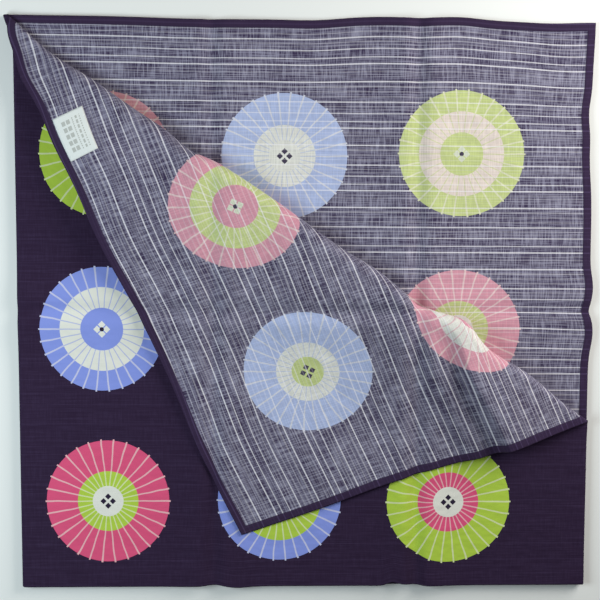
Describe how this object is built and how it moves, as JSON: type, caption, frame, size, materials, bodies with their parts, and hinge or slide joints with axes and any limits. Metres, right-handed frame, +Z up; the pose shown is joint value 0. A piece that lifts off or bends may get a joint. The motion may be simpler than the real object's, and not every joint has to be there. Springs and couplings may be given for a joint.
{
  "type": "furoshiki wrapping cloth",
  "caption": "Large square cotton wrapping cloth folded into a flat square stack, with the free corner of its top layer turned back over a soft roll.",
  "frame": {"origin": "centre of the folded cloth's box at the height of the surface that it lies on", "axes": "+Z up, +X from the folded left edge towards the right hem, +Y from the folded near edge towards the far hem"},
  "size_m": [0.5292, 0.5198, 0.0315],
  "materials": {
    "cloth": "matt slub cotton, printed on the front",
    "label": "matt woven tape, bare"
  },
  "bodies": {
    "root": {"cloth": "cloth", "label": "label"}
  },
  "joints": []
}
